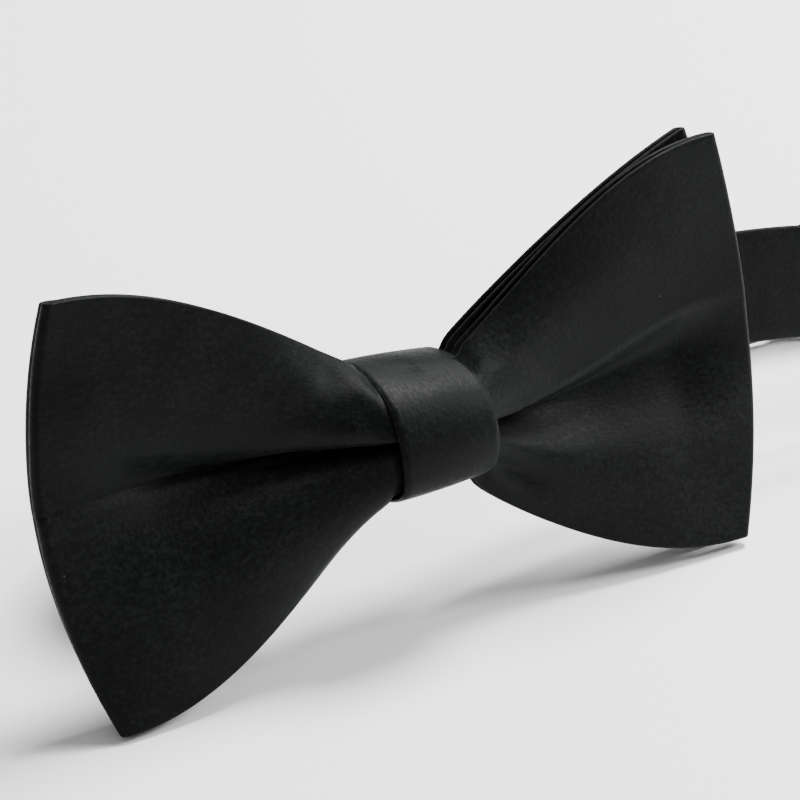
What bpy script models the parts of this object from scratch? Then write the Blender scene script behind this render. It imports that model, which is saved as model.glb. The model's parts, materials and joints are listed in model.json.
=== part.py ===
"""Pre-tied bow tie with an adjustable neck strap, standing as it lies on a table.

The bow leans back on the lower corners of its wings, and the neck strap stands on its edge
behind it, unhooked. World frame: +X along the bow, -Y the front, +Z up, metres.
"""

import math

import bmesh
import bpy
from mathutils import Matrix, Vector

MM = 0.001

# Bow: two flat loops of satin ribbon, one behind the other
BOW_HALF_LENGTH = 60 * MM
BOW_TOP = 30.4 * MM  # from the middle up to the tip's upper corner
BOW_BOTTOM = 31.2 * MM  # from the middle down to the tip's lower corner
CORNER_PULL_IN = 5.5 * MM  # how far short of the tip's middle its corners end
TIP_SWEEP = -1 * MM  # how far back the middle of a tip lies
CORNER_CURL = 3.4 * MM  # how far forward of the tip's middle its corners curl
WAIST_HALF_LENGTH = 8 * MM  # the stretch that the knot holds
WAIST_HALF_HEIGHT = 7.6 * MM
WAIST_VALLEY = -0.6 * MM
WAIST_FOLD = 3.2 * MM
PANEL = 1.1 * MM  # both fabric layers and the interlining between them
COVER_WALL = 0.25 * MM
LINING = 0.36 * MM
WAIST_PITCH = 1.75 * MM  # from one panel to the next under the knot
TIP_PITCH = 2.2 * MM
BOW_GAP = 0.8 * MM  # how far the rear bow stands off at the tips
REAR_BOW_SCALE = 0.97
REAR_BOW_RISE = 1 * MM  # how much higher its tips lie
LEAN = math.radians(14.5)
BOW_CENTRE_HEIGHT = 30.05 * MM

# Knot: a tube of satin on a stiffer lining, round both bows and the strap
KNOT_LENGTH = 17 * MM
KNOT_HALF_HEIGHT = 10.2 * MM
KNOT_FRONT = -9.6 * MM
KNOT_SQUARENESS = 4  # 2 would be an ellipse
KNOT_BACK = 10 * MM
KNOT_WALL = 0.5 * MM
KNOT_GAP = 0.15 * MM

# Neck strap and its metal
STRAP_HALF_WIDTH = 8.6 * MM
STRAP_THICK = 1.0 * MM
STRAP_AT_KNOT = 7.3 * MM
PINCH_FROM, PINCH_OVER = 9 * MM, 12 * MM  # where the knot's hold on the strap's width fades out
RUN = Vector((0, 44.5, 10.5)) * MM  # the straight run behind the bow, where it passes the bow's middle
WIRE = 0.7 * MM  # radius
CORNER = 1.2 * MM  # bend radius of the wire frames
RAIL = 9.65 * MM  # from the strap's middle to the side rails' middle
BAR_OFFSET = 1.45 * MM  # from the strap's middle layer to a bar that it folds round
HOOK_BAR_X = 54 * MM
HOOK_FRAME = 6.5 * MM
HOOK_TONGUE = 6 * MM  # how far the tongue reaches beyond the frame
HOOK_TONGUE_HALF = 5 * MM
HOOK_BEND = 1.3 * MM  # radius of the tongue's turned-back end
TONGUE_THICK = 0.8 * MM
SPLIT_X = 68 * MM  # where the strap's moving end begins
SPLIT = 0.3 * MM  # the narrow gap between the strap's moving and resting pieces
SLIDER_X = 112 * MM
SLIDER_HALF = 4.5 * MM
SLIDER_FRONT = -1.5 * MM  # the slider's frame lies this far in front of the strap
SLIDER_BAR = 0.6 * MM  # radius of its middle bar
SLIDER_BAR_OFFSET = 2.85 * MM
SLIDER_FOLD = 1.5 * MM  # radius of the strap's fold round that bar
EYE_BAR_X = -1.5 * MM
EYE_FRAME = 8 * MM

# Thread
THREAD = 0.2 * MM  # radius
WAIST_THREAD_TURNS = 3
WAIST_THREAD_FRONT, WAIST_THREAD_BACK = -5.3 * MM, 6.35 * MM
WAIST_THREAD_EASE = 1 * MM  # how far above and below the waist it passes

# From the bow's middle to the middle of the whole part's footprint
STAND = Vector((-38.81, -18.41, 0)) * MM


def clear_scene():
    for obj in list(bpy.data.objects):
        bpy.data.objects.remove(obj)


def new_collection(name):
    collection = bpy.data.collections.new(name)
    bpy.context.scene.collection.children.link(collection)
    return collection


def new_material(name, colour, roughness, metallic=0.0):
    material = bpy.data.materials.new(name)
    material.use_nodes = True
    shader = material.node_tree.nodes["Principled BSDF"]
    shader.inputs["Base Color"].default_value = (*colour, 1)
    shader.inputs["Roughness"].default_value = roughness
    shader.inputs["Metallic"].default_value = metallic
    return material


def new_empty(name, location, rotation=(0, 0, 0), parent=None):
    empty = bpy.data.objects.new(name, None)
    PARTS.objects.link(empty)
    empty.location = location
    empty.rotation_euler = rotation
    empty.parent = parent
    return empty


def new_object(name, mesh, material, parent):
    obj = bpy.data.objects.new(name, mesh)
    PARTS.objects.link(obj)
    mesh.materials.clear()
    mesh.materials.append(material)
    mesh.shade_smooth()
    mesh.set_sharp_from_angle(angle=math.radians(40))
    obj.parent = parent
    return obj


# Lofted pieces


def skin(bm, rings):
    """Joins each ring of points to the next, and returns the rings' vertices.

    The diagonals run the same way on a flat section's front and rear, so that a thin sheet
    keeps its thickness where it twists.
    """
    rows = [[bm.verts.new(point) for point in ring] for ring in rings]
    for low, high in zip(rows, rows[1:]):
        for i, corner in enumerate(low):
            j = (i + 1) % len(low)
            if i < len(low) // 2:
                bm.faces.new((corner, low[j], high[j]))
                bm.faces.new((corner, high[j], high[i]))
            else:
                bm.faces.new((corner, low[j], high[i]))
                bm.faces.new((low[j], high[j], high[i]))
    return rows


def cap(bm, ring):
    """Closes a flat section, whose points run along its front and back along its rear."""
    for i in range(len(ring) // 2 - 1):
        bm.faces.new((ring[i], ring[i + 1], ring[-2 - i], ring[-1 - i]))


def rim(bm, outer, inner):
    for i, corner in enumerate(outer):
        j = (i + 1) % len(outer)
        bm.faces.new((corner, outer[j], inner[j], inner[i]))


def mesh_of(name, bm):
    bmesh.ops.recalc_face_normals(bm, faces=bm.faces)
    mesh = bpy.data.meshes.new(name)
    bm.to_mesh(mesh)
    bm.free()
    return mesh


def solid_loft(name, rings, material, parent):
    bm = bmesh.new()
    rows = skin(bm, rings)
    cap(bm, rows[0])
    cap(bm, rows[-1])
    return new_object(name, mesh_of(name, bm), material, parent)


def hollow_loft(name, outer_rings, inner_rings, material, parent):
    """A sleeve that is open at both ends."""
    bm = bmesh.new()
    outer = skin(bm, outer_rings)
    inner = skin(bm, inner_rings)
    rim(bm, outer[0], inner[0])
    rim(bm, outer[-1], inner[-1])
    return new_object(name, mesh_of(name, bm), material, parent)


# Bows

PANEL_ROWS = (-1, -0.74, -0.45, 0, 0.45, 0.74, 1)  # across a panel, from its lower edge up
PANEL_STEPS = (0.14, 0.32, 0.58, 0.82)  # along a wing, from the knot to the tip
FOLD_STEPS = (15, 90, 165)  # degrees round the fold at a tip


def panel_point(side, along, row, layer, scale):
    """A point on a panel's middle surface. layer counts the panels from the front."""
    reach = (BOW_TOP if row > 0 else BOW_BOTTOM) * scale
    half_height = WAIST_HALF_HEIGHT + (reach - WAIST_HALF_HEIGHT) * math.sin(math.pi / 2 * along)
    tip = BOW_HALF_LENGTH * scale - CORNER_PULL_IN * row**2 - TIP_PITCH / 2
    waist_y = WAIST_VALLEY - WAIST_FOLD * math.sin(0.9 * math.pi * abs(row)) ** 2
    tip_y = TIP_SWEEP - CORNER_CURL * row**2
    pitch = WAIST_PITCH * (1 - along) + TIP_PITCH * along
    x = WAIST_HALF_LENGTH + along * (tip - WAIST_HALF_LENGTH)
    y = waist_y * (1 - along) + tip_y * along + layer * pitch
    z = row * half_height
    if layer > 1:
        y += BOW_GAP * (0.4 + 0.6 * math.sqrt(along))
        z += REAR_BOW_RISE * along
    return Vector((side * x, y, z))


def loop_grid(first_layer, scale, inset):
    """Rows of points along a whole loop, from its seam at the back centre and round to it."""
    grid = []

    def add(side, along, layer, degrees=0):
        angle = math.radians(degrees)
        line = []
        for row in PANEL_ROWS:
            point = panel_point(side, along, row, layer, scale)
            point.x += side * TIP_PITCH / 2 * math.sin(angle)
            point.y += TIP_PITCH / 2 * (1 - math.cos(angle))
            line.append(point)
        grid.append(line)

    def add_seam(x, layer):
        add(1, 0, layer)
        for point in grid[-1]:
            point.x = x

    seam = 0.3 * MM
    back, front = first_layer + 1, first_layer
    add_seam(seam, back)
    for side, start, end in ((1, back, front), (-1, front, back)):
        for along in (0, *PANEL_STEPS):
            add(side, along, start)
        for degrees in reversed(FOLD_STEPS) if start == back else FOLD_STEPS:
            add(side, 1, front, degrees)
        for along in (*reversed(PANEL_STEPS), 0):
            add(side, along, end)
    add_seam(-seam, back)
    for line in grid:
        for edge, beside in ((0, 1), (-1, -2)):
            line[edge] = line[edge] + (line[beside] - line[edge]).normalized() * inset
    return grid


def thicken(grid, thickness):
    """Turns each row of points into a flat closed section of this thickness."""
    rings = []
    last = len(grid) - 1
    for i, line in enumerate(grid):
        before, after = grid[max(i - 1, 0)], grid[min(i + 1, last)]
        near, far = [], []
        for j, point in enumerate(line):
            along = after[j] - before[j]
            across = line[min(j + 1, len(line) - 1)] - line[max(j - 1, 0)]
            normal = along.cross(across).normalized() * thickness / 2
            near.append(point + normal)
            far.append(point - normal)
        rings.append(near + far[::-1])
    return rings


def make_bow(name, first_layer, scale, parent):
    cavity = PANEL - 2 * COVER_WALL
    outer = thicken(loop_grid(first_layer, scale, 0), PANEL)
    inner = thicken(loop_grid(first_layer, scale, COVER_WALL), cavity)
    hollow_loft(name + "_cover", outer, inner, SATIN, parent)
    lining = thicken(loop_grid(first_layer, scale, 2 * COVER_WALL), LINING)
    solid_loft(name + "_interlining", lining, LINING_CLOTH, parent)


# Knot


def knot_ring(x, inset):
    """A rounded rectangle round the bow's waist, at one place along the knot."""
    count = 24
    middle = (KNOT_BACK + KNOT_FRONT) / 2
    half_depth = (KNOT_BACK - KNOT_FRONT) / 2 - inset
    half_height = KNOT_HALF_HEIGHT - inset
    ring = []
    for i in range(count):
        angle = 2 * math.pi * (i + 0.5) / count
        c, s = math.cos(angle), math.sin(angle)
        reach = (c**KNOT_SQUARENESS + s**KNOT_SQUARENESS) ** (-1 / KNOT_SQUARENESS)
        ring.append(Vector((x, middle + half_depth * reach * c, half_height * reach * s)))
    return ring


def make_knot_tube(name, length, inset, material, parent):
    places = (-length / 2, length / 2)
    outer = [knot_ring(x, inset) for x in places]
    inner = [knot_ring(x, inset + KNOT_WALL) for x in places]
    return hollow_loft(name, outer, inner, material, parent)


# Straps: a flat section along a path of (point, lean of the width from upright)


def smooth_path(points, steps):
    """Catmull-Rom points through the given (x, y, z, lean) values."""
    values = [Vector(point) for point in points]
    values = [2 * values[0] - values[1], *values, 2 * values[-1] - values[-2]]
    path = []
    for a, b, c, d in zip(values, values[1:], values[2:], values[3:]):
        for i in range(steps):
            t = i / steps
            path.append(
                0.5 * (2 * b + (c - a) * t + (2 * a - 5 * b + 4 * c - d) * t**2)
                + 0.5 * (3 * b - a - 3 * c + d) * t**3
            )
    path.append(values[-2])
    return path


def strap_rings(path, half_width=None):
    """Flat sections of the strap along (x, y, z, lean in degrees) points, in metres."""
    rings = []
    last = len(path) - 1
    for i, value in enumerate(path):
        place = value.xyz
        along = (path[min(i + 1, last)].xyz - path[max(i - 1, 0)].xyz).normalized()
        side = Vector((along.y, -along.x, 0)).normalized()
        up = side.cross(along).normalized()
        turn = Matrix.Rotation(math.radians(value.w), 3, along)
        up = turn @ up
        side = turn @ side
        reach = up * (half_width[i] if half_width else STRAP_HALF_WIDTH)
        thick = side * STRAP_THICK / 2
        rings.append(
            [place - reach - thick, place + reach - thick, place + reach + thick, place - reach + thick]
        )
    return rings


def flat_path(points):
    """A path in the plane of one strap run, from (along, out) pairs in metres."""
    return [Vector((u, out, 0, 0)) for u, out in points]


def half_turn(u, out, radius, start_degrees, count=7):
    """Points round a bar, half a turn clockwise as seen from above."""
    points = []
    for i in range(count):
        angle = math.radians(start_degrees - 180 * i / (count - 1))
        points.append((u + radius * math.cos(angle), out + radius * math.sin(angle)))
    return points


def in_bow_frame(x, y, z):
    """World place, before STAND, of a point of the leaning bow."""
    turned = Matrix.Rotation(-LEAN, 3, "X") @ Vector((x, y, z))
    return turned + Vector((0, 0, BOW_CENTRE_HEIGHT))


def pinched(path):
    """The strap's half width: narrower where the knot holds it."""
    widths = []
    for value in path:
        share = min(max((abs(value.x) - PINCH_FROM) / PINCH_OVER, 0), 1)
        widths.append(STRAP_HALF_WIDTH * (0.76 + 0.24 * share * share * (3 - 2 * share)))
    return widths


def make_right_strap(parent):
    lean = math.degrees(LEAN)
    start = in_bow_frame(0.4 * MM, STRAP_AT_KNOT, 0)
    out = in_bow_frame(9.5 * MM, STRAP_AT_KNOT, 0)
    route = [
        (*start, -lean),
        (*out, -lean),
        (0.020, 0.0087, 0.0283, -lean),
        (0.040, 0.0114, 0.0296, -lean),
        (0.058, 0.0138, 0.0302, -lean),
        (0.076, 0.0142, 0.0287, -13),
        (0.096, 0.0137, 0.0247, -10),
        (0.114, 0.0132, 0.0192, -6),
        (0.1295, 0.0174, 0.0143, -2),
        (0.1376, 0.0288, 0.0114, 0),
        (0.1312, 0.0407, RUN.z, 0),
        (0.1200, RUN.y, RUN.z, 0),
    ]
    path = smooth_path(route, 4)
    path.append(Vector((SPLIT_X + SPLIT, RUN.y, RUN.z, 0)))
    solid_loft("neck_strap_right", strap_rings(path, pinched(path)), SATIN, parent)


def make_left_strap(parent):
    lean = math.degrees(LEAN)
    start = in_bow_frame(-0.4 * MM, STRAP_AT_KNOT, 0)
    out = in_bow_frame(-9.5 * MM, STRAP_AT_KNOT, 0)
    route = [
        (*start, lean),
        (*out, lean),
        (-0.0190, 0.0086, 0.0262, 12),
        (-0.0297, 0.0139, 0.0236, 6),
        (-0.0350, 0.0255, 0.0192, 0),
        (-0.0308, 0.0370, 0.0147, 0),
        (-0.0220, 0.0430, 0.0117, 0),
        (-0.0120, RUN.y, RUN.z, 0),
    ]
    path = smooth_path(route, 4)
    bar = RUN.y + BAR_OFFSET
    fold = half_turn(EYE_BAR_X, bar, -BAR_OFFSET, 90)
    back = EYE_BAR_X - 5.5 * MM
    tail = [(back, bar + BAR_OFFSET), (back - 5 * MM, bar + BAR_OFFSET - 0.45 * MM)]
    for x, y in [*[(x, 2 * bar - y) for x, y in reversed(fold)], *tail]:
        path.append(Vector((x, y, RUN.z, 0)))
    solid_loft("neck_strap_left", strap_rings(path, pinched(path)), SATIN, parent)


# Metal


def wire(name, points, radius, material, parent, closed=False, sides=2):
    """A bent wire as a mesh object, with its ends capped."""
    curve = bpy.data.curves.new(name, "CURVE")
    curve.dimensions = "3D"
    curve.bevel_depth = radius
    curve.bevel_resolution = sides
    curve.use_fill_caps = True
    spline = curve.splines.new("POLY")
    spline.points.add(len(points) - 1)
    for spot, point in zip(spline.points, points):
        spot.co = (*point, 1)
    spline.use_cyclic_u = closed
    drawn = bpy.data.objects.new(name + "_path", curve)
    PARTS.objects.link(drawn)
    evaluated = drawn.evaluated_get(bpy.context.evaluated_depsgraph_get())
    mesh = bpy.data.meshes.new_from_object(evaluated)
    bm = bmesh.new()
    bm.from_mesh(mesh)
    bmesh.ops.remove_doubles(bm, verts=bm.verts, dist=1e-6)
    bm.to_mesh(mesh)
    bm.free()
    bpy.data.objects.remove(drawn)
    mesh.name = name
    return new_object(name, mesh, material, parent)


def frame_corners(low, high, out):
    """A rectangle of wire with round corners, across the strap's whole width."""
    points = []
    for u, z, start in (
        (high - CORNER, RAIL - CORNER, 0),
        (low + CORNER, RAIL - CORNER, 90),
        (low + CORNER, -RAIL + CORNER, 180),
        (high - CORNER, -RAIL + CORNER, 270),
    ):
        for i in range(4):
            angle = math.radians(start + 30 * i)
            points.append((u + CORNER * math.cos(angle), out, z + CORNER * math.sin(angle)))
    return points


def union(target, tool):
    """Adds a helper piece to an object, with an exact Boolean."""
    PARTS.objects.unlink(tool)
    CUTTERS.objects.link(tool)
    tool.hide_render = True
    tool.display_type = "WIRE"
    joined = target.modifiers.new("with_" + tool.name, "BOOLEAN")
    joined.operation = "UNION"
    joined.solver = "EXACT"
    joined.object = tool


def make_slider(run):
    holder = new_empty("slider_axis", (SLIDER_X, 0, 0), parent=run)
    corners = frame_corners(-SLIDER_HALF, SLIDER_HALF, SLIDER_FRONT)
    frame = wire("slider_frame", corners, WIRE, NICKEL, holder, closed=True)
    bar = [
        (0, SLIDER_FRONT, RAIL),
        (0, SLIDER_BAR_OFFSET - SLIDER_BAR, RAIL),
        (0, SLIDER_BAR_OFFSET, RAIL - SLIDER_BAR),
        (0, SLIDER_BAR_OFFSET, -RAIL + SLIDER_BAR),
        (0, SLIDER_BAR_OFFSET - SLIDER_BAR, -RAIL),
        (0, SLIDER_FRONT, -RAIL),
    ]
    union(frame, wire("slider_centre_bar", bar, SLIDER_BAR, NICKEL, holder))
    return holder


def make_hook(end):
    holder = new_empty("hook_axis", (HOOK_BAR_X, BAR_OFFSET, 0), parent=end)
    frame = wire("hook", frame_corners(-HOOK_FRAME, 0, 0), WIRE, NICKEL, holder, closed=True)
    reach = -HOOK_FRAME - HOOK_TONGUE
    points = [(-HOOK_FRAME + 0.2 * MM, 0), (reach, 0)]
    for i in range(1, 6):
        angle = math.radians(90 + 36 * i)
        points.append((reach + HOOK_BEND * math.cos(angle), HOOK_BEND * (math.sin(angle) - 1)))
    points.append((reach + 3.6 * MM, -2 * HOOK_BEND - 0.2 * MM))
    path = flat_path(points)
    rings = []
    for i, value in enumerate(path):
        before, after = path[max(i - 1, 0)], path[min(i + 1, len(path) - 1)]
        along = (after - before).xyz.normalized()
        out = Vector((along.y, -along.x, 0)) * TONGUE_THICK / 2
        up = Vector((0, 0, HOOK_TONGUE_HALF))
        place = value.xyz
        rings.append([place - up - out, place + up - out, place + up + out, place - up + out])
    union(frame, solid_loft("hook_tongue", rings, NICKEL, holder))
    return holder


def make_eye(stand):
    place = RUN + Vector((EYE_BAR_X, BAR_OFFSET, 0))
    holder = new_empty("eye_axis", place, parent=stand)
    wire("eye", frame_corners(0, EYE_FRAME, 0), WIRE, NICKEL, holder, closed=True)
    return holder


def make_moving_strap(end, slider):
    """The strap's end: round the hook's bar, back to the slider and round its middle bar."""
    bar = HOOK_BAR_X
    outer = 2 * BAR_OFFSET
    fold = half_turn(bar, BAR_OFFSET, BAR_OFFSET, 270)
    leg = [(SPLIT_X, 0), (bar + 3 * MM, 0), *fold]
    leg += [(bar + 3 * MM, outer), (SPLIT_X, outer - SPLIT)]
    solid_loft("strap_hook_fold", strap_rings(flat_path(leg)), SATIN, end)

    inner = SLIDER_BAR_OFFSET - SLIDER_FOLD
    back = [(SPLIT_X + SPLIT, outer - SPLIT), (SLIDER_X - 12 * MM, inner)]
    back.append((SLIDER_X - 1 * MM, inner))
    solid_loft("strap_return_layer", strap_rings(flat_path(back)), SATIN, end)

    turn = [(-u, out) for u, out in half_turn(0, SLIDER_BAR_OFFSET, SLIDER_FOLD, 270)]
    tail = [(-0.7 * MM, inner), *turn, (-3 * MM, SLIDER_BAR_OFFSET + 1.4 * MM)]
    tail.append((-10 * MM, inner + 1.4 * MM))
    solid_loft("strap_tail", strap_rings(flat_path(tail)), SATIN, slider)


# Thread


def zigzag(name, start, step, swing, count, parent):
    """A run of stitches from side to side of a line."""
    points = []
    for i in range(count):
        points.append(start + step * i + swing * (1 if i % 2 else -1))
    return wire(name, points, THREAD, THREAD_CLOTH, parent, sides=1)


def make_thread(bow, stand, slider):
    turns, per_turn = WAIST_THREAD_TURNS, 16
    middle = (WAIST_THREAD_FRONT + WAIST_THREAD_BACK) / 2
    half_depth = (WAIST_THREAD_BACK - WAIST_THREAD_FRONT) / 2
    half_height = WAIST_HALF_HEIGHT + WAIST_THREAD_EASE
    points = []
    for i in range(turns * per_turn + 1):
        angle = 2 * math.pi * i / per_turn
        c, s = math.cos(angle), math.sin(angle)
        reach = (c**6 + s**6) ** (-1 / 6)
        x = (i / per_turn - turns / 2) * 1.1 * MM
        points.append((x, middle + half_depth * reach * c, half_height * reach * s))
    wire("waist_thread", points, THREAD, THREAD_CLOTH, bow, sides=1)
    out = STRAP_AT_KNOT + STRAP_THICK / 2 + 0.45 * MM
    for side, name in ((1, "strap_tack_right"), (-1, "strap_tack_left")):
        start = Vector((side * 4 * MM, out, -4.5 * MM))
        zigzag(name, start, Vector((0, 0, 1 * MM)), Vector((0.9 * MM, 0, 0)), 10, bow)
    start = Vector((-6.5 * MM, KNOT_BACK + 0.25 * MM, -5 * MM))
    zigzag("knot_back_stitches", start, Vector((1 * MM, 0, 0)), Vector((0, 0, 0.8 * MM)), 14, bow)
    start = RUN + Vector((EYE_BAR_X - 7.7 * MM, BAR_OFFSET + 2.25 * MM, -6.3 * MM))
    zigzag("eye_fold_stitches", start, Vector((0, 0, 1.05 * MM)), Vector((0.7 * MM, 0, 0)), 13, stand)
    start = Vector((-7.5 * MM, SLIDER_BAR_OFFSET + 1.65 * MM, -6.3 * MM))
    zigzag("tail_stitches", start, Vector((0, 0, 1.05 * MM)), Vector((0.7 * MM, 0, 0)), 13, slider)


clear_scene()
PARTS = new_collection("bow_tie")
CUTTERS = new_collection("bow_tie_tools")
SATIN = new_material("black_satin", (0.012, 0.012, 0.014), 0.42)
LINING_CLOTH = new_material("interlining", (0.32, 0.31, 0.29), 0.9)
THREAD_CLOTH = new_material("black_thread", (0.015, 0.015, 0.017), 0.6)
NICKEL = new_material("nickel", (0.70, 0.68, 0.64), 0.25, 1.0)

stand_frame = new_empty("stand", STAND)
bow_frame = new_empty("bow_lean", (0, 0, BOW_CENTRE_HEIGHT), (-LEAN, 0, 0), stand_frame)
run_frame = new_empty("strap_run", RUN, parent=stand_frame)
end_frame = new_empty("strap_end", (0, 0, 0), parent=run_frame)

make_bow("front_bow", 0, 1, bow_frame)
make_bow("rear_bow", 2, REAR_BOW_SCALE, bow_frame)
make_knot_tube("knot_wrap", KNOT_LENGTH, 0, SATIN, bow_frame)
make_knot_tube(
    "knot_interlining", KNOT_LENGTH - 1 * MM, KNOT_WALL + KNOT_GAP, LINING_CLOTH, bow_frame
)
make_right_strap(stand_frame)
make_left_strap(stand_frame)
slider_frame = make_slider(end_frame)
make_hook(end_frame)
make_eye(stand_frame)
make_moving_strap(end_frame, slider_frame)
make_thread(bow_frame, stand_frame, slider_frame)
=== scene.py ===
"""Looks of the pre-tied black bow tie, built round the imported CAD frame."""

import json
import math

import bmesh
import bpy
import numpy as np
from mathutils import Matrix, Vector


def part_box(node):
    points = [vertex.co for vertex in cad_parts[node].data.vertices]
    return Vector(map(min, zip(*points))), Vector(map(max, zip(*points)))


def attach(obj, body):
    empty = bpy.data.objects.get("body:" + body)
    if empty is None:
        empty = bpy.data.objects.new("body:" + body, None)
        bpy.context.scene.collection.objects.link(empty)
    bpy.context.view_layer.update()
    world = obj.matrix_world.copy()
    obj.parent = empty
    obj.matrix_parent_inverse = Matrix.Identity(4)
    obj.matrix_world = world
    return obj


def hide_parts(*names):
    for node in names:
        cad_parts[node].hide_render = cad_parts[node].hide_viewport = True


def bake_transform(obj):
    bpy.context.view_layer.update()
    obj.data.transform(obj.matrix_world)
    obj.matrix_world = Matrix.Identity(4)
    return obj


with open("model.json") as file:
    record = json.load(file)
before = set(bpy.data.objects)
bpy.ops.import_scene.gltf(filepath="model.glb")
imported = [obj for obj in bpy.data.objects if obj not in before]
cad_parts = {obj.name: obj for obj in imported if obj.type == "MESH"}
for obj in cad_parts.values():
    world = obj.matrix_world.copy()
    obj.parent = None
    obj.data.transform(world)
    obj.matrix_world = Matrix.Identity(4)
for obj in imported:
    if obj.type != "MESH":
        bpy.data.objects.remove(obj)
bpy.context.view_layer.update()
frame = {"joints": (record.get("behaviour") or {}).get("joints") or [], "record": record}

MM = 0.001
JOINTS = {joint["name"]: joint for joint in frame["joints"]}

# Bow frame: the collar seat is the middle of the knot's back
SEAT = frame["record"]["mounts"][0]
KNOT_BACK = 10 * MM
BOW_X = Vector((1, 0, 0))
BOW_Y = Vector(SEAT["axis"]).normalized()
BOW_Z = BOW_X.cross(BOW_Y)
BOW_MIDDLE = Vector(SEAT["pos_m"]) - KNOT_BACK * BOW_Y

# Bows: each is a ribbon joined into a loop, with two layers of cloth from the waist to each tip
WAIST = 8 * MM  # half the stretch that the knot holds
WAIST_HOLD = (0.3 * MM, 2.5 * MM, 5.5 * MM)  # places along its back layer, out from the seam
WAIST_STEPS = 6  # of its front layer, to each side
SHEET = 0.75 * MM  # both satin faces of a panel and the interlining between them
WAIST_PITCH = 1.75 * MM  # from one layer to the next, at the waist and at the tip
TIP_PITCH = 1.5 * MM
REAR_LAYER = 2
REAR_SCALE = 0.98
REAR_GAP = 0.7 * MM

# Knot
KNOT_HALF_LENGTH = 8.3 * MM
KNOT_ASIDE = 0.8 * MM
KNOT_WALL = 0.6 * MM
KNOT_BULGE = 0.25 * MM  # how much fuller it is at its middle than at its ends
KNOT_HEM = 0.3 * MM  # how far its ends are rounded in

# Neck strap: a run straight behind the bow, in which its size is set, and a loop at each side
STRAP_HALF_WIDTH = 8.6 * MM
STRAP_THICK = 1.0 * MM
STRAP_AT_KNOT = 7.3 * MM
PINCH = 0.24  # the share of its width that the knot takes up
PINCH_FROM = 9 * MM
PINCH_OVER = 12 * MM
LEAN = math.degrees(math.asin(-BOW_Y.z))
HOOK_PIVOT = Vector(JOINTS["hook_pivot"]["pos_m"])
EYE_PIVOT = Vector(JOINTS["eye_pivot"]["pos_m"])
BAR_OFFSET = 1.45 * MM  # from the middle of a wire to the middle of the cloth folded round it
FOLD_REACH = 14 * MM  # how far from the hook the strap's turned layer ends and the return one starts
FOLD_STRAIGHT = 3 * MM
FOLD_SETTLE = 0.3 * MM  # how much closer the two layers lie there
LAYER_GAP = 0.02 * MM
RUN_Y = HOOK_PIVOT.y - BAR_OFFSET
RUN_Z = HOOK_PIVOT.z

# Wire parts
WIRE = 0.7 * MM
WIRE_CORNER = 1.3 * MM
RAIL = 9.65 * MM  # half the height of a wire loop, to the middle of its wire
EYE_REACH = 8 * MM
HOOK_REACH = 6.5 * MM
TONGUE_FLAT = (6.2 * MM, 9 * MM, 12.5 * MM)  # places along the tongue's flat part, from the pivot
TONGUE_BEND = 1.3 * MM
TONGUE_LIP = ((2 * MM, 0), (3.6 * MM, 0.2 * MM))  # its turned end: how far back, and how far out
TONGUE_HALF_WIDTH = 5 * MM
TONGUE_TAPER = 0.25
TONGUE_THICK = 0.8 * MM
SLIDER_X = (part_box("slider_frame")[0].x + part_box("slider_frame")[1].x) / 2
SLIDER_HALF_LENGTH = 4.5 * MM
SLIDER_FRONT = 1.5 * MM  # how far its frame lies in front of the strap
SLIDER_BAR_OFFSET = 2.85 * MM  # and its raised middle bar behind it
SLIDER_BAR = 0.6 * MM
SLIDER_BAR_BEND = 0.7 * MM
TAIL_TURN = 1.5 * MM  # the strap's tail goes round the bar with this radius
TAIL_START = 12 * MM

# Thread
WRAPS = 6
WRAP_STEPS = 40
WRAP_SPAN = 0.55  # of the knot's half length
WRAP_UNDER = 0.35 * MM  # how far inside the knot's cloth it runs
WRAP_THREAD = 0.16 * MM
STITCH_THREAD = 0.14 * MM
SEAM_SWING = 0.7 * MM  # how far a seam's zigzag goes to each side
SEAM_HALF_LENGTH = 7.4 * MM
KNOT_SEAM_X = (-6.5 * MM, 7.0 * MM)
KNOT_SEAM_Z = -5 * MM
TACK_X = 4 * MM
TACK_HALF_LENGTH = 4.5 * MM
TACK_SWING = 0.9 * MM
EYE_SEAM_FROM_BAR = 7.7 * MM
TAIL_SEAM_FROM_BAR = 7.5 * MM
# How far each seam's thread lies out from the knot's back, the strap's face or the slider's bar
KNOT_SEAM_OUT = 0.18 * MM
TACK_OUT = 0.3 * MM
EYE_SEAM_OUT = 0.02 * MM
TAIL_SEAM_OUT = 0.72 * MM


def in_bow(x, y, z):
    """World place of a point of the leaning bow."""
    return BOW_MIDDLE + x * BOW_X + y * BOW_Y + z * BOW_Z


def smooth(t):
    """From 0 to 1 as t does, level at both ends."""
    t = min(max(t, 0), 1)
    return t * t * (3 - 2 * t)


def bump(t, middle, half_width):
    """1 at the middle, falling smoothly to 0 at half_width from it."""
    return smooth(1 - abs(t - middle) / half_width)


# Materials


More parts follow.
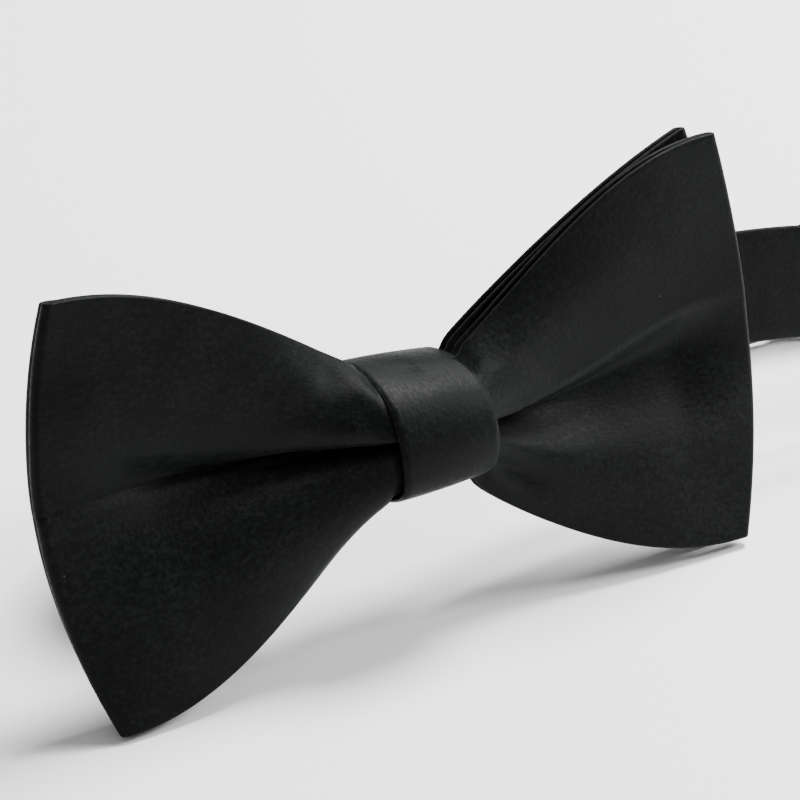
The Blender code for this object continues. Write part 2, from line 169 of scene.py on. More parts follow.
class Nodes:
    """Short calls for a node tree."""

    def __init__(self, name):
        self.material = bpy.data.materials.new(name)
        self.material.use_nodes = True
        self.tree = self.material.node_tree
        self.shader = self.tree.nodes["Principled BSDF"]
        self.where = self.tree.nodes.new("ShaderNodeTexCoord").outputs["Object"]

    def new(self, kind):
        """A new node of this kind in the tree."""
        return self.tree.nodes.new("ShaderNode" + kind)

    def link(self, output, node, socket):
        self.tree.links.new(output, node.inputs[socket])

    def math(self, operation, a, b):
        """The result of the operation on two values, each a number or another node's output."""
        node = self.new("Math")
        node.operation = operation
        for i, value in enumerate((a, b)):
            if isinstance(value, (int, float)):
                node.inputs[i].default_value = value
            else:
                self.link(value, node, i)
        return node.outputs[0]

    def sine(self, value):
        node = self.new("Math")
        node.operation = "SINE"
        self.link(value, node, 0)
        return node.outputs[0]

    def mix(self, *parts):
        """The sum of the given (value, share) pairs."""
        total = None
        for value, share in parts:
            part = self.math("MULTIPLY", value, share)
            total = self.math("ADD", total, part) if total else part
        return total

    def stretched(self, where, scale):
        """The place scaled differently in each direction."""
        mapping = self.new("Mapping")
        mapping.inputs["Scale"].default_value = scale
        self.link(where, mapping, "Vector")
        return mapping.outputs[0]

    def noise(self, scale, detail=2, where=None):
        node = self.new("TexNoise")
        node.inputs["Scale"].default_value = scale
        node.inputs["Detail"].default_value = detail
        self.link(where or self.where, node, "Vector")
        return node.outputs["Fac"]

    def ramp(self, value, low, high, a, b):
        """From a to b, as the value goes from low to high."""
        node = self.new("MapRange")
        node.inputs["From Min"].default_value = low
        node.inputs["From Max"].default_value = high
        node.inputs["To Min"].default_value = a
        node.inputs["To Max"].default_value = b
        self.link(value, node, "Value")
        return node.outputs["Result"]

    def colours(self, value, *stops):
        """A colour for the value, blended between (place, colour) stops."""
        node = self.new("ValToRGB")
        ramp = node.color_ramp
        while len(ramp.elements) < len(stops):
            ramp.elements.new(0.5)
        for element, (place, colour) in zip(ramp.elements, stops):
            element.position = place
            element.color = (*colour, 1)
        self.link(value, node, "Fac")
        return node.outputs["Color"]

    def bump_from(self, height, distance, strength=1.0, under=None):
        """Relief of this height on the shader, on top of the relief under it."""
        node = self.new("Bump")
        node.inputs["Distance"].default_value = distance
        node.inputs["Strength"].default_value = strength
        self.link(height, node, "Height")
        if under:
            self.link(under, node, "Normal")
        self.link(node.outputs["Normal"], self.shader, "Normal")
        return node.outputs["Normal"]


def cloth_place(nodes):
    """A point's place along and across its cloth in mm, kept in the mesh as a UV map."""
    uv = nodes.new("UVMap")
    uv.uv_map = "Cloth"
    return uv.outputs["UV"]


def cloth_threads(nodes, pitch_mm):
    """Height of the weave along the cloth's own two directions."""
    split = nodes.new("SeparateXYZ")
    nodes.link(cloth_place(nodes), split, 0)
    turns = 2 * math.pi / pitch_mm
    warp = nodes.sine(nodes.math("MULTIPLY", split.outputs["X"], turns))
    weft = nodes.sine(nodes.math("MULTIPLY", split.outputs["Y"], turns * 0.8))
    return nodes.mix((warp, 0.6), (weft, 0.4))


def cloth_noise(nodes, along, across):
    """Noise in the cloth's own directions, with this many spots to a millimetre along and across."""
    return nodes.noise(1, where=nodes.stretched(cloth_place(nodes), (along, across, 1)))


def make_satin():
    """Black satin: long floats that streak the sheen, a fine grain, soft clouds and a little lint."""
    nodes = Nodes("black_satin")
    shader = nodes.shader
    threads = cloth_threads(nodes, 0.2)
    streaks = cloth_noise(nodes, 0.45, 3.6)
    grain = nodes.noise(1500, 3)
    clouds = nodes.noise(95, 3)
    lint = nodes.ramp(nodes.noise(800, 1), 0.79, 0.84, 0, 1)
    colour = nodes.colours(
        nodes.mix((grain, 0.5), (streaks, 0.22), (clouds, 0.28), (lint, 0.4)),
        (0.34, (0.0011, 0.0013, 0.0014)),
        (0.50, (0.0028, 0.0032, 0.0033)),
        (0.66, (0.0072, 0.0078, 0.0081)),
        (0.95, (0.035, 0.036, 0.038)),
    )
    nodes.link(colour, shader, "Base Color")
    shine = nodes.mix((grain, 0.6), (streaks, 0.4))
    nodes.link(nodes.ramp(shine, 0.35, 0.65, 0.42, 0.62), shader, "Roughness")
    shader.inputs["Specular IOR Level"].default_value = 0.058
    shader.inputs["Anisotropic"].default_value = 0.4
    shader.inputs["Sheen Weight"].default_value = 0.03
    shader.inputs["Sheen Roughness"].default_value = 0.4
    shader.inputs["Sheen Tint"].default_value = (0.86, 0.90, 1.0, 1)
    under = nodes.bump_from(clouds, 0.3 * MM, 0.5)
    nodes.bump_from(nodes.mix((threads, 0.1), (grain, 1.3), (streaks, 0.7)), 0.05 * MM, 0.9, under)
    return nodes.material


def make_thread():
    """Black sewing thread, slightly fuzzy."""
    nodes = Nodes("black_sewing_thread")
    fibres = nodes.noise(4000, 3)
    colour = nodes.colours(fibres, (0.3, (0.008, 0.008, 0.010)), (0.7, (0.030, 0.030, 0.034)))
    nodes.link(colour, nodes.shader, "Base Color")
    nodes.link(nodes.ramp(fibres, 0.3, 0.7, 0.45, 0.65), nodes.shader, "Roughness")
    nodes.shader.inputs["Sheen Weight"].default_value = 0.15
    nodes.bump_from(fibres, 0.03 * MM, 0.8)
    return nodes.material


def make_nickel():
    """Bright nickel plate, a little worn, with the drawing lines of the wire."""
    nodes = Nodes("nickel_plate")
    wear = nodes.noise(420, 4)
    drawn = nodes.noise(1800, where=nodes.stretched(nodes.where, (1, 1, 0.08)))
    colour = nodes.colours(wear, (0.3, (0.58, 0.56, 0.52)), (0.7, (0.74, 0.72, 0.68)))
    nodes.link(colour, nodes.shader, "Base Color")
    nodes.link(nodes.ramp(wear, 0.3, 0.7, 0.18, 0.34), nodes.shader, "Roughness")
    nodes.shader.inputs["Metallic"].default_value = 1
    nodes.bump_from(drawn, 0.008 * MM, 0.5)
    return nodes.material


SATIN = make_satin()
THREAD = make_thread()
NICKEL = make_nickel()


# Meshes


def new_object(name, bm, material):
    """The smooth object that a finished bmesh makes."""
    mesh = bpy.data.meshes.new(name)
    bm.to_mesh(mesh)
    bm.free()
    obj = bpy.data.objects.new(name, mesh)
    bpy.context.scene.collection.objects.link(obj)
    mesh.materials.append(material)
    mesh.shade_smooth()
    return obj


def new_solid(name, bm, material):
    """The same, with its faces turned outward first."""
    bmesh.ops.recalc_face_normals(bm, faces=bm.faces)
    return new_object(name, bm, material)


def add_rings(bm, rings, along, across, closed=False, turned=False):
    """Faces through rings of points. along and across are their places on the cloth in metres."""
    cloth = bm.loops.layers.uv.new("Cloth")
    rows = [[bm.verts.new(point) for point in ring] for ring in rings]
    following = rows[1:] + rows[:1] if closed else rows[1:]
    for i, (low, high) in enumerate(zip(rows, following)):
        for j in range(len(low)):
            k = (j + 1) % len(low)
            face = bm.faces.new((low[j], low[k], high[k], high[j]))
            for loop, (a, c) in zip(face.loops, ((i, j), (i, j + 1), (i + 1, j + 1), (i + 1, j))):
                uv = (along[a] * 1000, across[c] * 1000)
                loop[cloth].uv = uv[::-1] if turned else uv
    return rows


def distances(points):
    """How far along the line through the points each of them is."""
    total = [0.0]
    for a, b in zip(points, points[1:]):
        total.append(total[-1] + (Vector(b) - Vector(a)).length)
    return total


EDGE_ANGLES = (60, 20, -20, -60)
EDGE_ROUND = 0.8  # how far a sheet's round edge stands out, as a share of half its thickness


def thick_sheet(name, grid, thickness, material, flat=None):
    """A sheet of this thickness round a grid of middle points, with rounded long edges.

    flat holds each line's place along the cloth, where the first edge doesn't give it.
    """
    points = np.array([[tuple(point) for point in line] for line in grid])
    along = np.gradient(points, axis=0)
    across = np.gradient(points, axis=1)
    normal = np.cross(along, across)
    normal /= np.linalg.norm(normal, axis=2, keepdims=True)
    outward = across / np.linalg.norm(across, axis=2, keepdims=True)
    half = thickness / 2
    rings = []
    for line, n, o in zip(points, normal, outward):
        near = [Vector(p + half * q) for p, q in zip(line, n)]
        far = [Vector(p - half * q) for p, q in zip(line, n)]
        low, high = [], []
        for degrees in EDGE_ANGLES:
            c, s = math.cos(math.radians(degrees)), math.sin(math.radians(degrees))
            high.append(Vector(line[-1] + half * (s * n[-1] + c * EDGE_ROUND * o[-1])))
            low.append(Vector(line[0] + half * (-s * n[0] - c * EDGE_ROUND * o[0])))
        rings.append([*near, *high, *far[::-1], *low])
    middle = rings[len(rings) // 2]
    bm = bmesh.new()
    along_cloth = flat or distances([ring[0] for ring in rings])
    rows = add_rings(bm, rings, along_cloth, distances(middle + middle[:1]))
    for row in (rows[0], rows[-1]):
        for j in range(len(row) // 2 - 1):
            bm.faces.new((row[j], row[j + 1], row[-2 - j], row[-1 - j]))
    return new_solid(name, bm, material)


def between(a, b, c, d, t):
    """The point of a Catmull-Rom curve at share t of the way from b to c."""
    return (
        0.5 * (2 * b + (c - a) * t + (2 * a - 5 * b + 4 * c - d) * t**2)
        + 0.5 * (3 * b - a - 3 * c + d) * t**3
    )


# Bows

# For each wing, upper then lower half, in mm: how far short of the middle of the tip its corner ends, the
# tip's half height, the power of the flare and the half height at the knot; then the wing's length, the
# share of it that the knot covers, and how far back its tip sweeps, where less than 0 is forward. The
# rear bow has its own outline, whose edges flare partly in a straight line.
LEFT = {
    "pull": (4.4, 5.9), "reach": (29.5, 31.2), "power": (1.03, 1.15), "neck": (9.7, 10.3),
    "length": 59.1, "flare": 0, "sweep": -1.9,
    "rear": {
        "pull": (4.4, 5.9), "reach": (28.9, 30.9), "power": (1.2, 1.15), "neck": (8, 8.4),
        "straight": (0.2, 0.2),
    },
}
RIGHT = {
    "pull": (4.8, 6.6), "reach": (31.3, 30.2), "power": (1.06, 0.84), "neck": (8.0, 10.0),
    "length": 60, "flare": 0.02, "sweep": -0.1,
    "rear": {
        "pull": (6.2, 6.6), "reach": (32.3, 29.2), "power": (0.88, 0.84), "neck": (8, 8.2),
        "straight": (0.6, 0.2),
    },
}
CURL = 3.4  # how much further forward than its middle a wing's corners come
NECK_HELD = 0.91  # the neck's height under the knot, as a share of what it is beside it
LOBE_SHARE = (1, 0.45, 0.3, 0.2)  # how much of the front panel's fullness each layer has
VALLEY_SHARE = (1, 0.95, 0.75, 0.68)  # and of its valley's depth


def gauss(t, middle, width):
    """1 at the middle, falling off on both sides as a bell does."""
    return math.exp(-(((t - middle) / width) ** 2))


def valley_shape(v, lip, above, below):
    """1 at a valley's bottom: a rounded slope up to the crisp lip above it, and a gentle one below."""
    middle = lip - above
    if v > middle:
        return max(0, 1 - ((v - middle) / above) ** 1.7)
    return gauss(v, middle, below)


def folds_left(s, v):
    """How far, in mm, the left wing's cloth stands forward in its lobes, and back in its valley."""
    # Full where the cloth comes out of the knot, then a soft swell in each half of the wing
    full = 7.5 * (1 - abs(v) ** (3.2 if v > 0 else 7)) * math.exp(-s / (0.19 if v > 0 else 0.34))
    lobes = full + 1.2 * math.sin(math.pi * s) * (bump(v, 0.6, 0.55) + 1.15 * bump(v, -0.5, 0.6))
    # A dent in the upper edge beside the knot, and the roll of cloth above the valley
    lobes -= 1.2 * gauss(s, 0.13, 0.055) * gauss(v, 0.80, 0.22)
    lip = 0.01 + 0.30 * s
    lobes += 1.3 * smooth(s / 0.1) * math.exp(-s / 0.6) * gauss(v, lip + 0.15, 0.2)
    # The valley climbs away from the knot and grows shallow towards the tip
    depth = 4.6 * math.exp(-((s / 0.95) ** 2)) * (1 - 0.9 * smooth((s - 0.62) / 0.34))
    return lobes, depth * valley_shape(v, lip, 0.05 + 0.15 * s, 0.08 + 0.22 * s)


def folds_right(s, v):
    """The same for the right wing, whose upper lobe hangs over the valley."""
    full = 6.9 * (1 - abs(v) ** 3) * math.exp(-s / 0.2)
    lobes = full + 1.1 * math.sin(math.pi * s) * (bump(v, 0.6, 0.55) + bump(v, -0.5, 0.6))
    lip = -0.10 + 0.31 * smooth(s / 0.9)
    lobes += 0.5 * smooth(s / 0.12) * math.exp(-s / 0.5) * gauss(v, lip + 0.2, 0.2)
    lobes -= 1.5 * gauss(s, 0.10, 0.12) * gauss(v, -0.60 - 0.5 * s, 0.12)
    depth = 5.0 * math.exp(-((s / 0.8) ** 2)) + 0.9 * gauss(s, 0.8, 0.15)
    depth *= 1 - 0.75 * smooth((s - 0.72) / 0.28)
    return lobes, depth * valley_shape(v, lip, 0.05 + 0.18 * s, 0.14 + 0.36 * s)


def wing_point(side, s, v, layer):
    """A point on a panel's middle surface: s from the knot to the tip, v across from -1 to 1."""
    wing = RIGHT if side > 0 else LEFT
    rear = layer >= REAR_LAYER
    outline = wing["rear"] if rear else wing
    half = 0 if v > 0 else 1
    reach = outline["reach"][half]
    beside_knot = smooth((s - wing["flare"]) / 0.02)
    neck = outline["neck"][half] * (NECK_HELD + (1 - NECK_HELD) * beside_knot)
    flare = math.sin(math.pi / 2 * s) ** outline["power"][half]
    if rear:
        flare += (s - flare) * outline["straight"][half]
    height = neck + (reach - neck) * flare
    tip = wing["length"] * (REAR_SCALE if rear else 1) - outline["pull"][half] * v * v
    tip = tip * MM - TIP_PITCH / 2
    plain = -(1 - s) + (wing["sweep"] - CURL * v * v) * s - 0.9 * math.sin(math.pi * s) * abs(v)
    lobes, valley = (folds_right if side > 0 else folds_left)(s, v)
    y = plain - lobes * LOBE_SHARE[layer] + valley * VALLEY_SHARE[layer]
    z = v * height
    x = WAIST + s * (tip - WAIST)
    depth = y * MM + layer * (WAIST_PITCH * (1 - s) + TIP_PITCH * s)
    if rear:
        depth += REAR_GAP * (0.2 + 0.8 * math.sqrt(s))
    return Vector((side * x, depth, z * MM))


# Shares of a wing from the knot to the tip, and places across it, both closest together at the ends
WING_STEPS = [0.5 - 0.5 * math.cos(math.pi * (i / 44) ** 0.8) for i in range(45)]
ROWS = [math.sin(math.pi / 2 * (j / 46 - 1)) * 0.35 + (j / 46 - 1) * 0.65 for j in range(93)]
FOLD_ANGLES = [15 * k for k in range(1, 12)]


def loop_lines(first_layer):
    """Lines of points across the ribbon, along the loop from its seam at the back and round to it."""
    lines = []

    def line(make):
        lines.append([in_bow(*make(v)) for v in ROWS])

    def waist(x, layer, side):
        def place(v):
            edge = wing_point(side, 0, v, layer)
            return x, edge.y, edge.z

        line(place)

    def wing(side, s, layer):
        line(lambda v: wing_point(side, s, v, layer))

    def round_tip(side, degrees):
        angle = math.radians(degrees)

        def place(v):
            point = wing_point(side, 1, v, first_layer)
            point.x += side * TIP_PITCH / 2 * math.sin(angle)
            point.y += TIP_PITCH / 2 * (1 - math.cos(angle))
            return point

        line(place)

    back, front = first_layer + 1, first_layer
    for x in WAIST_HOLD:
        waist(x, back, 1)
    for s in WING_STEPS:
        wing(1, s, back)
    for degrees in reversed(FOLD_ANGLES):
        round_tip(1, degrees)
    for s in reversed(WING_STEPS):
        wing(1, s, front)
    necks = [(wing_point(-1, 0, v, front), wing_point(1, 0, v, front)) for v in ROWS]
    for step in range(WAIST_STEPS - 1, -WAIST_STEPS, -1):
        x = step * WAIST / WAIST_STEPS
        share = (step + WAIST_STEPS) / (2 * WAIST_STEPS)
        lines.append(
            [in_bow(x, a.y + (b.y - a.y) * share, a.z + (b.z - a.z) * share) for a, b in necks]
        )
    for s in WING_STEPS:
        wing(-1, s, front)
    for degrees in FOLD_ANGLES:
        round_tip(-1, degrees)
    for s in reversed(WING_STEPS):
        wing(-1, s, back)
    for x in reversed(WAIST_HOLD):
        waist(-x, back, -1)
    return lines


def make_bow(name, first_layer):
    """A whole bow: the loop of its cover and the interlining inside it, as one padded ribbon."""
    lines = loop_lines(first_layer)
    middle = [line[len(line) // 2] for line in lines]
    bow = thick_sheet(name, lines, SHEET, SATIN, distances(middle))
    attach(bow, "bow")
    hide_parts(name + "_cover", name + "_interlining")
    return bow


front_bow = make_bow("front_bow", 0)
rear_bow = make_bow("rear_bow", REAR_LAYER)


# Knot

# The knot's outline at its left and right end, as (depth, height) in mm, from the lower back up
KNOT_LEFT = (
    (10, -6), (10, 6), (8.4, 9.0), (2, 9.8), (-4, 8.3), (-8.2, 5.3), (-10.2, 1), (-10.6, -4),
    (-9.3, -8.0), (-4, -9.8), (3, -9.9), (8.6, -9),
)
KNOT_RIGHT = (
    (10, -6), (10, 5.6), (8.2, 7.8), (3.4, 8.1), (-2, 7.1), (-6.8, 4.5), (-9.0, 1), (-9.4, -3.5),
    (-7.4, -7.6), (-2, -9.8), (4, -10.1), (8.6, -9),
)


def round_curve(points, steps):
    """A closed Catmull-Rom curve through the points."""
    curve = []
    count = len(points)
    for i in range(count):
        near = [Vector(points[(i + k) % count]) for k in (-1, 0, 1, 2)]
        curve += [between(*near, j / steps) for j in range(steps)]
    return curve


def knot_ring(place, inset):
    """Points round the knot at place, from -1 at its left end to 1 at its right end."""
    share = (place + 1) / 2
    corners = [Vector(a).lerp(Vector(b), share) for a, b in zip(KNOT_LEFT, KNOT_RIGHT)]
    ring = []
    for y, z in round_curve(corners, 10):
        shrink = 1 - inset / math.hypot(y * MM, z * MM)
        x = KNOT_ASIDE + place * KNOT_HALF_LENGTH
        ring.append(in_bow(x, y * MM * shrink, z * MM * shrink))
    return ring


def make_knot():
    """A tube of cloth, with an outer and an inner side that meet at its rounded ends."""
    places = [math.sin(math.pi / 2 * (i / 12 - 1)) for i in range(25)]
    rings = []
    for place in places:
        edge = smooth((abs(place) - 0.93) / 0.07)
        rings.append(knot_ring(place, KNOT_HEM * edge - KNOT_BULGE * (1 - place**2)))
    rings += [knot_ring(place, KNOT_WALL) for place in reversed(places)]
    along = distances([ring[0] for ring in rings] + [rings[0][0]])
    bm = bmesh.new()
    add_rings(bm, rings, along, distances(rings[0] + rings[0][:1]), closed=True, turned=True)
    knot = new_solid("knot", bm, SATIN)
    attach(knot, "bow")
    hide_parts("knot_wrap", "knot_interlining")
    return knot


knot = make_knot()


# Straps


def smooth_path(points, steps):
    """Catmull-Rom points through the given (x, y, z, lean) values."""
    values = [Vector(point) for point in points]
    values = [2 * values[0] - values[1], *values, 2 * values[-1] - values[-2]]
    path = []
    for near in zip(values, values[1:], values[2:], values[3:]):
        path += [between(*near, i / steps) for i in range(steps)]
    path.append(values[-2])
    return path


def strap_lines(path, half_width, across=13):
    """Lines of points across the strap at each (x, y, z, lean in degrees) value of its path."""
    lines = []
    last = len(path) - 1
    for i, value in enumerate(path):
        along = (path[min(i + 1, last)].xyz - path[max(i - 1, 0)].xyz).normalized()
        side = Vector((along.y, -along.x, 0)).normalized()
        up = side.cross(along).normalized()
        up = Matrix.Rotation(math.radians(value.w), 3, along) @ up
        reach = half_width(value)
        lines.append([value.xyz + up * reach * (2 * j / (across - 1) - 1) for j in range(across)])
    return lines


def pinched(value):
    """Half the strap's width at a place of its route: less where the knot gathers it."""
    knot = in_bow(0, STRAP_AT_KNOT, 0)
    away = math.hypot(value.x - knot.x, value.y - knot.y)
    share = smooth((away - PINCH_FROM) / PINCH_OVER)
    return STRAP_HALF_WIDTH * (1 - PINCH + PINCH * share)


def full_width(value):
    return STRAP_HALF_WIDTH


def stand(x, y, z, lean):
    """A place of the strap's route, measured from the bow's middle on the table."""
    return (x + BOW_MIDDLE.x, y + BOW_MIDDLE.y, z, lean)


def half_turn(x, y, radius, count=13):
    """Points round a bar, from its front half a turn clockwise as seen from above."""
    points = []
    for i in range(count):
        angle = math.radians(270 - 180 * i / (count - 1))
        points.append((x + radius * math.cos(angle), y + radius * math.sin(angle)))
    return points


def run_points(points):
    """The (x, y) points as places of the strap's route where it stands upright."""
    return [Vector((x, y, RUN_Z, 0)) for x, y in points]


def straight(x0, y0, x1, y1, count):
    """Points from the first place to just before the last one."""
    return [(x0 + (x1 - x0) * i / count, y0 + (y1 - y0) * i / count) for i in range(count)]


def make_strap(name, path, half_width, *nodes):
    """A strap along its path, and how long it is."""
    strap = thick_sheet(name, strap_lines(path, half_width), STRAP_THICK, SATIN)
    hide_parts(*nodes)
    return strap, distances([value.xyz for value in path])[-1]


def right_strap():
    """From the knot round the loop to the hook's bar and back over it, in one piece."""
    route = [
        (*in_bow(0.4 * MM, STRAP_AT_KNOT, 0), -LEAN),
        (*in_bow(9.5 * MM, STRAP_AT_KNOT, 0), -LEAN),
        stand(0.020, 0.0087, 0.0283, -LEAN),
        stand(0.040, 0.0114, 0.0296, -LEAN),
        stand(0.058, 0.0138, 0.0302, -LEAN),
        stand(0.076, 0.0142, 0.0287, -13),
        stand(0.096, 0.0137, 0.0247, -10),
        stand(0.114, 0.0132, 0.0192, -6),
        stand(0.1295, 0.0174, 0.0143, -2),
        stand(0.1376, 0.0288, 0.0114, 0),
        stand(0.1312, 0.0407, 0.0105, 0),
        stand(0.1200, 0.0445, 0.0105, 0),
    ]
    path = smooth_path(route, 8)[:-1]
    bar_x, bar_y = HOOK_PIVOT.x, HOOK_PIVOT.y
    start_x = path[-1].x - 1 * MM
    run = straight(start_x, RUN_Y, bar_x + FOLD_STRAIGHT, RUN_Y, 24)
    run += [(bar_x + FOLD_STRAIGHT, RUN_Y), *half_turn(bar_x, bar_y, BAR_OFFSET)]
    out = bar_y + BAR_OFFSET
    run += straight(bar_x + FOLD_STRAIGHT, out, bar_x + FOLD_REACH, out - FOLD_SETTLE, 4)
    run.append((bar_x + FOLD_REACH, out - FOLD_SETTLE))
    return path + run_points(run)


def return_strap():
    """From beside the hook to the slider's middle bar, round it and back as the sewn tail."""
    inner = RUN_Y + SLIDER_BAR_OFFSET - TAIL_TURN
    start = HOOK_PIVOT.x + FOLD_REACH + LAYER_GAP
    out = HOOK_PIVOT.y + BAR_OFFSET - FOLD_SETTLE
    run = straight(start, out, SLIDER_X - TAIL_START, inner, 10)
    run += straight(SLIDER_X - TAIL_START, inner, SLIDER_X - 0.5 * MM, inner, 5)
    run += [(SLIDER_X - x, RUN_Y + SLIDER_BAR_OFFSET + y) for x, y in half_turn(0, 0, TAIL_TURN)]
    # The tail settles against the layer that it is sewn to
    tail = ((3, 2.9), (6, 2.1), (8, 1.6), (10, 1.4))
    run += [(SLIDER_X - x * MM, inner + y * MM) for x, y in tail]
    return run_points(run)


def left_strap():
    """From the knot round to the eye's bar and back, to where the fold is sewn down."""
    route = [
        (*in_bow(-0.4 * MM, STRAP_AT_KNOT, 0), LEAN),
        (*in_bow(-9.5 * MM, STRAP_AT_KNOT, 0), LEAN),
        stand(-0.0190, 0.0086, 0.0262, 12),
        stand(-0.0297, 0.0139, 0.0236, 6),
        stand(-0.0350, 0.0255, 0.0192, 0),
        stand(-0.0308, 0.0370, 0.0147, 0),
        stand(-0.0220, 0.0430, 0.0117, 0),
        stand(-0.0120, 0.0445, 0.0105, 0),
    ]
    path = smooth_path(route, 8)
    bar_x, bar_y = EYE_PIVOT.x, EYE_PIVOT.y
    run = [(2 * bar_x - x, y) for x, y in half_turn(bar_x, bar_y, BAR_OFFSET)]
    flap = ((3, 0), (5.5, 0), (8, 0.2), (10.5, 0.45))
    run += [(bar_x - x * MM, bar_y + BAR_OFFSET - y * MM) for x, y in flap]
    return path + run_points(run)


strap_right, right_length = make_strap(
    "strap_right", right_strap(), pinched, "neck_strap_right", "strap_hook_fold"
)
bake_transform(strap_right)
strap_return, return_length = make_strap(
    "strap_return", return_strap(), full_width, "strap_return_layer", "strap_tail"
)
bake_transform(strap_return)
strap_left, left_length = make_strap("strap_left", left_strap(), pinched, "neck_strap_left")
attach(strap_left, "bow")


# Wire and thread


def tube_rings(path, radius, sides=12, closed=False):
    """Round sections along a path, turned as little as possible from one to the next."""
    points = [Vector(point) for point in path]
    count = len(points)
    rings = []
    normal = None
    for i, point in enumerate(points):
        before = points[(i - 1) % count] if closed else points[max(i - 1, 0)]
        after = points[(i + 1) % count] if closed else points[min(i + 1, count - 1)]
        along = (after - before).normalized()
        if normal is None:
            normal = along.orthogonal().normalized()
        normal = (normal - along * normal.dot(along)).normalized()
        other = along.cross(normal)
        ring = []
        for k in range(sides):
            angle = 2 * math.pi * k / sides
            ring.append(point + radius * (math.cos(angle) * normal + math.sin(angle) * other))
        rings.append(ring)
    return rings


def add_tube(bm, path, radius, sides=12, closed=False):
    """A round tube, either capped or joined to its own start at the corner that lies nearest."""
    rings = tube_rings(path, radius, sides, closed)
    rows = [[bm.verts.new(point) for point in ring] for ring in rings]
    pairs = list(zip(rows, rows[1:])) + ([(rows[-1], rows[0])] if closed else [])
    for low, high in pairs:
        shift = 0
        if low is rows[-1]:
            shift = min(range(sides), key=lambda k: (rows[0][k].co - low[0].co).length)
        for j in range(sides):
            k = (j + 1) % sides
            bm.faces.new((low[j], low[k], high[(k + shift) % sides], high[(j + shift) % sides]))
    if not closed:
        bm.faces.new(rows[0][::-1])
        bm.faces.new(rows[-1])


def tube_object(name, paths, material, sides=12):
    """One mesh of several tubes, each given as (path, radius, whether it is closed)."""
    bm = bmesh.new()
    for path, radius, closed in paths:
        add_tube(bm, path, radius, sides, closed)
    return new_solid(name, bm, material)


def settle(piece, body, slot, *nodes):
    """Gives a finished piece its body and hides the nodes that it replaces. Its slot is not used."""
    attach(piece, body)
    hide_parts(*nodes)
    return piece


def rounded_frame(low, high, y):
    """A wire rectangle with round corners in the strap's run, round the strap's whole width."""
    points = []
    radius = WIRE_CORNER
    corners = (
        (high - radius, RAIL - radius, 0), (low + radius, RAIL - radius, 90),
        (low + radius, -RAIL + radius, 180), (high - radius, -RAIL + radius, 270),
    )
    for x, z, start in corners:
        for i in range(7):
            angle = math.radians(start + 15 * i)
            points.append((x + radius * math.cos(angle), y, RUN_Z + z + radius * math.sin(angle)))
    return points


def make_eye():
    """A plain wire loop."""
    frame_wire = rounded_frame(EYE_PIVOT.x, EYE_PIVOT.x + EYE_REACH, EYE_PIVOT.y)
    settle(tube_object("eye_ring", [(frame_wire, WIRE, True)], NICKEL), "eye", "nickel", "eye")


def make_hook():
    """A wire loop with a flat tongue that turns back at its end."""
    x, y = HOOK_PIVOT.x, HOOK_PIVOT.y
    loop = rounded_frame(x - HOOK_REACH, x, y)
    wire = settle(tube_object("hook_loop", [(loop, WIRE, True)], NICKEL), "hook", "nickel", "hook")
    reach = x - TONGUE_FLAT[-1]
    bend = TONGUE_BEND
    path = [(x - place, y) for place in TONGUE_FLAT]
    for i in range(1, 10):
        angle = math.radians(90 + 20 * i)
        path.append((reach + bend * math.cos(angle), y - bend + bend * math.sin(angle)))
    path += [(reach + back, y - 2 * bend - lift) for back, lift in TONGUE_LIP]
    lines = []
    for i, (px, py) in enumerate(path):
        half = TONGUE_HALF_WIDTH * (1 - TONGUE_TAPER * smooth((i - len(path) + 3) / 2))
        lines.append([Vector((px, py, RUN_Z + half * k / 6)) for k in range(-6, 7)])
    tongue = thick_sheet("hook_tongue", lines, TONGUE_THICK, NICKEL)
    tongue.parent = wire


def make_slider():
    """A wire rectangle, and the raised middle bar that the strap's end is sewn round."""
    low, high, bend = RUN_Y - SLIDER_FRONT, RUN_Y + SLIDER_BAR_OFFSET, SLIDER_BAR_BEND
    loop = rounded_frame(SLIDER_X - SLIDER_HALF_LENGTH, SLIDER_X + SLIDER_HALF_LENGTH, low)
    bar = [(SLIDER_X, low, RUN_Z + RAIL), (SLIDER_X, high - bend, RUN_Z + RAIL)]
    for top in (True, False):
        for i in range(1, 6):
            angle = math.radians(18 * i if top else 90 - 18 * i)
            z = RAIL - bend + bend * math.cos(angle)
            y = high - bend + bend * math.sin(angle)
            bar.append((SLIDER_X, y, RUN_Z + (z if top else -z)))
    bar += [(SLIDER_X, high - bend, RUN_Z - RAIL), (SLIDER_X, low, RUN_Z - RAIL)]
    slider = tube_object("slider", [(loop, WIRE, True), (bar, SLIDER_BAR, False)], NICKEL)
    settle(slider, "slider", "nickel", "slider_frame")


def stitch_row(name, start, end, swing, count, body, node):
    """A zigzag of thread from start to end, swinging to each side, drawn tight at the needle holes."""
    start, end, swing = Vector(start), Vector(end), Vector(swing)
    path = []
    for i in range(4 * count + 1):
        t = i / (4 * count)
        side = math.sin(math.pi * (i / 2 + 0.5)) if i % 2 == 0 else 0
        path.append(start.lerp(end, t) + swing * side)
    settle(tube_object(name, [(path, STITCH_THREAD, False)], THREAD, 8), body, "thread", node)


def make_waist_thread():
    """The turns of thread that gather the bows, just inside the knot."""
    count = WRAPS * WRAP_STEPS
    coil = []
    for i in range(count):
        ring = knot_ring((i / count - 0.5) * WRAP_SPAN, KNOT_WALL + WRAP_UNDER)
        coil.append(ring[int(i % WRAP_STEPS * len(ring) / WRAP_STEPS)])
    coil_thread = tube_object("waist_wrap_thread", [(coil, WRAP_THREAD, False)], THREAD, 8)
    settle(coil_thread, "bow", "thread", "waist_thread")


def strap_seam(name, x, y, body, node):
    """A seam across the strap where it stands upright."""
    start, end = ((x, y, RUN_Z + side * SEAM_HALF_LENGTH) for side in (-1, 1))
    stitch_row(name, start, end, (SEAM_SWING, 0, 0), 18, body, node)


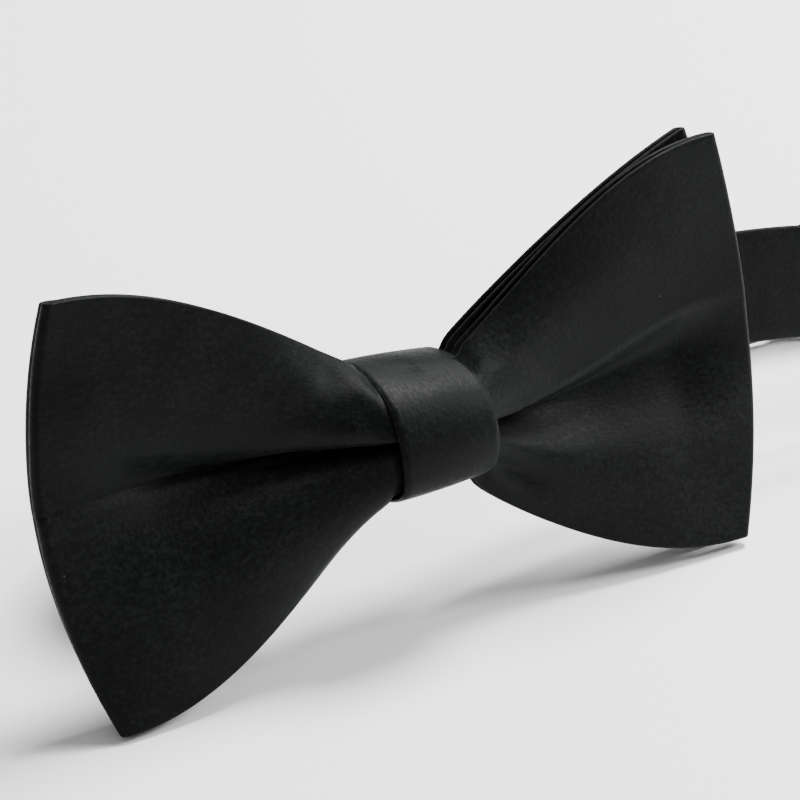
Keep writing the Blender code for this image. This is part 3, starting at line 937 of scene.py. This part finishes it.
def make_stitches():
    """The seams at the knot's back, the strap's tacks, its fold at the eye and its tail."""
    start, end = (in_bow(x, KNOT_BACK + KNOT_SEAM_OUT, KNOT_SEAM_Z) for x in KNOT_SEAM_X)
    stitch_row("knot_seam", start, end, SEAM_SWING * BOW_Z, 16, "bow", "knot_back_stitches")
    tacked = STRAP_AT_KNOT + STRAP_THICK / 2 + TACK_OUT
    for side, name in ((1, "right"), (-1, "left")):
        start, end = (in_bow(side * TACK_X, tacked, z) for z in (-TACK_HALF_LENGTH, TACK_HALF_LENGTH))
        stitch_row("tack_" + name, start, end, TACK_SWING * BOW_X, 9, "bow", "strap_tack_" + name)
    eye_seam_y = EYE_PIVOT.y + BAR_OFFSET + STRAP_THICK / 2 + EYE_SEAM_OUT
    strap_seam("eye_fold_seam", EYE_PIVOT.x - EYE_SEAM_FROM_BAR, eye_seam_y, "bow", "eye_fold_stitches")
    tail_seam_y = RUN_Y + SLIDER_BAR_OFFSET + TAIL_SEAM_OUT
    strap_seam("tail_seam", SLIDER_X - TAIL_SEAM_FROM_BAR, tail_seam_y, "slider", "tail_stitches")


make_eye()
make_hook()
make_slider()
make_waist_thread()
make_stitches()


# Stage, lights and camera

CAM_AZIMUTH = -31.1
CAM_ELEVATION = 26
CAM_DISTANCE = 0.473
CAM_LENS_MM = 148.8
CAM_ASIDE = -1.4 * MM
CAM_ABOVE = 2.97 * MM
FLOOR_HALF = 3.0
WORLD_STRENGTH = 0.45


def aim(obj, place, target):
    """Puts a lamp or camera at a place, looking at the target."""
    obj.location = place
    obj.rotation_euler = (Vector(target) - Vector(place)).to_track_quat("-Z", "Y").to_euler()


def make_floor():
    """A plain pale floor, under the whole view."""
    bm = bmesh.new()
    bmesh.ops.create_grid(bm, x_segments=2, y_segments=2, size=FLOOR_HALF)
    nodes = Nodes("pale_floor")
    nodes.shader.inputs["Base Color"].default_value = (0.93, 0.93, 0.93, 1)
    nodes.shader.inputs["Roughness"].default_value = 0.55
    new_object("floor", bm, nodes.material)


def add_area(name, place, size, power):
    """A round soft lamp aimed at the bow."""
    light = bpy.data.lights.new(name, "AREA")
    light.shape = "DISK"
    light.size = size
    light.energy = power
    lamp = bpy.data.objects.new(name, light)
    bpy.context.scene.collection.objects.link(lamp)
    aim(lamp, place, BOW_MIDDLE)


def make_world():
    """Even white light from all sides."""
    world = bpy.data.worlds.new("studio")
    bpy.context.scene.world = world
    world.use_nodes = True
    background = world.node_tree.nodes["Background"]
    background.inputs["Color"].default_value = (1, 1, 1, 1)
    background.inputs["Strength"].default_value = WORLD_STRENGTH


def make_camera():
    """The camera, whose target lies a little aside of the bow's middle in its own view."""
    azimuth, elevation = math.radians(CAM_AZIMUTH), math.radians(CAM_ELEVATION)
    back = Vector(
        (
            math.sin(azimuth) * math.cos(elevation),
            -math.cos(azimuth) * math.cos(elevation),
            math.sin(elevation),
        )
    )
    right = Vector((math.cos(azimuth), math.sin(azimuth), 0))
    up = back.cross(right)
    target = BOW_MIDDLE + CAM_ASIDE * right + CAM_ABOVE * up
    data = bpy.data.cameras.new("camera")
    data.lens = CAM_LENS_MM
    data.sensor_width = 36
    data.clip_start = 0.01
    camera = bpy.data.objects.new("camera", data)
    bpy.context.scene.collection.objects.link(camera)
    aim(camera, target + CAM_DISTANCE * back, target)
    bpy.context.scene.camera = camera


make_floor()
make_world()
add_area("key_light", place=(0.42, 0.20, 0.87), size=0.4, power=28)
add_area("side_fill", place=(1.0, -0.35, 0.75), size=0.5, power=20)
make_camera()
